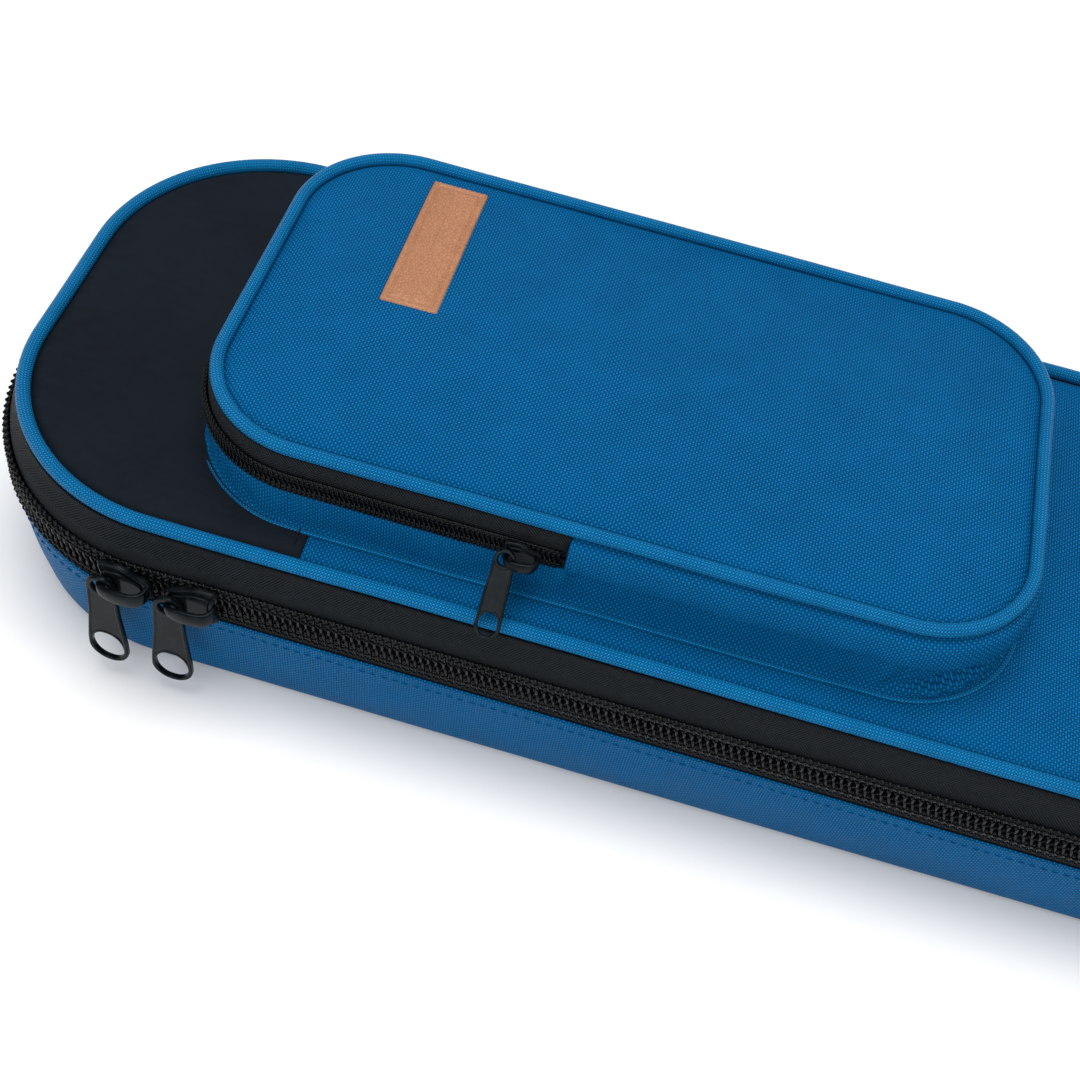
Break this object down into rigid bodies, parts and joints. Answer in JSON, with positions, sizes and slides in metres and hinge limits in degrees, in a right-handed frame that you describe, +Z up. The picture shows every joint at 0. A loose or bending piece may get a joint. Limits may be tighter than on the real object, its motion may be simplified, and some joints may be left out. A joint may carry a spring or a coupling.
{
  "type": "telescope carry case",
  "caption": "Padded zip-round carry case with rounded ends, a hinged lid, a raised zipped pocket on the lid and a carry handle on its spine.",
  "frame": {"origin": "centre of the flat underside that the case rests on", "axes": "+X along the case, away from the pulls' resting end; -Y is the opening side with the zipper pulls; +Y is the spine with the handle; +Z up"},
  "size_m": [0.413, 0.183, 0.0858],
  "materials": {
    "blue_oxford": "woven, slight sheen",
    "blue_piping": "woven bias over cord",
    "black_softshell": "smooth knit, matt",
    "black_zip_tape": "herringbone woven",
    "black_zip_coil": "glossy nylon",
    "black_enamel": "gloss enamel",
    "brown_label": "smooth, matt",
    "black_lining": "brushed knit",
    "grey_foam": "closed-cell foam, matt",
    "grey_board": "matt",
    "black_binding": "ribbed tape",
    "black_webbing": "woven webbing"
  },
  "bodies": {
    "base": {"base_floor_fabric": "blue_oxford", "base_floor_board": "grey_board", "base_floor_foam": "grey_foam", "base_floor_lining": "black_lining", "base_wall_fabric": "blue_oxford", "base_wall_foam": "grey_foam", "base_wall_lining": "black_lining", "base_rim_binding": "black_binding", "base_zip_tape": "black_zip_tape", "base_zip_coil": "black_zip_coil", "spine_lower_half": "blue_oxford", "handle_webbing": "black_webbing", "handle_grip": "black_webbing", "handle_anchor_left": "black_webbing", "handle_anchor_right": "black_webbing"},
    "lid": {"lid_panel_middle": "blue_oxford", "lid_panel_left_end": "black_softshell", "lid_panel_right_end": "black_softshell", "lid_board": "grey_board", "lid_foam": "grey_foam", "lid_lining": "black_lining", "lid_piping": "blue_piping", "lid_zip_tape": "black_zip_tape", "lid_zip_coil": "black_zip_coil", "spine_upper_half": "blue_oxford", "pocket_gusset": "blue_oxford", "pocket_rear_band": "blue_oxford", "pocket_top_rear": "blue_oxford", "pocket_foam_rear": "grey_foam", "pocket_piping_rear": "blue_piping", "pocket_zip_tape_lower": "black_zip_tape", "pocket_zip_coil_lower": "black_zip_coil"},
    "pocket_flap": {"pocket_top_front": "blue_oxford", "pocket_foam_front": "grey_foam", "pocket_piping_front": "blue_piping", "pocket_zip_tape_upper": "black_zip_tape", "pocket_zip_coil_upper": "black_zip_coil", "label_patch": "brown_label"},
    "main_slider_right": {"main_slider_right": "black_enamel"},
    "main_slider_left": {"main_slider_left": "black_enamel"},
    "pocket_slider": {"pocket_slider": "black_enamel"},
    "main_pull_tab_right": {"main_pull_tab_right": "black_enamel"},
    "main_pull_tab_left": {"main_pull_tab_left": "black_enamel"},
    "pocket_pull_tab": {"pocket_pull_tab": "black_enamel"}
  },
  "joints": [
    {"name": "lid_hinge", "type": "hinge", "parent": "base", "child": "lid", "pos_m": [0, 0.0785, 0.04085], "axis": [-1, 0, 0], "range_deg": [0, 165]},
    {"name": "pocket_flap_fold", "type": "hinge", "parent": "lid", "child": "pocket_flap", "pos_m": [-0.0443, 0, 0.0858], "axis": [0, 1, 0], "range_deg": [0, 110]},
    {"name": "main_slider_right_travel", "type": "slide", "parent": "base", "child": "main_slider_right", "axis": [1, 0, 0], "range_m": [0, 0.272]},
    {"name": "main_slider_left_travel", "type": "hinge", "parent": "base", "child": "main_slider_left", "pos_m": [-0.1485, -0.0205, 0.04085], "axis": [0, 0, -1], "range_deg": [0, 86]},
    {"name": "pocket_slider_travel", "type": "slide", "parent": "lid", "child": "pocket_slider", "axis": [-1, 0, 0], "range_m": [0, 0.055]},
    {"name": "main_pull_tab_right_swing", "type": "hinge", "parent": "main_slider_right", "child": "main_pull_tab_right", "pos_m": [-0.1396, -0.0824, 0.04085], "axis": [0, -1, 0], "range_deg": [0, 45]},
    {"name": "main_pull_tab_left_swing", "type": "hinge", "parent": "main_slider_left", "child": "main_pull_tab_left", "pos_m": [-0.15783, -0.08195, 0.04085], "axis": [0.0603, 0.9982, 0], "range_deg": [0, 85]},
    {"name": "pocket_pull_tab_swing", "type": "hinge", "parent": "pocket_slider", "child": "pocket_pull_tab", "pos_m": [-0.0586, -0.0649, 0.0748], "axis": [0, 1, 0], "range_deg": [0, 75]}
  ]
}
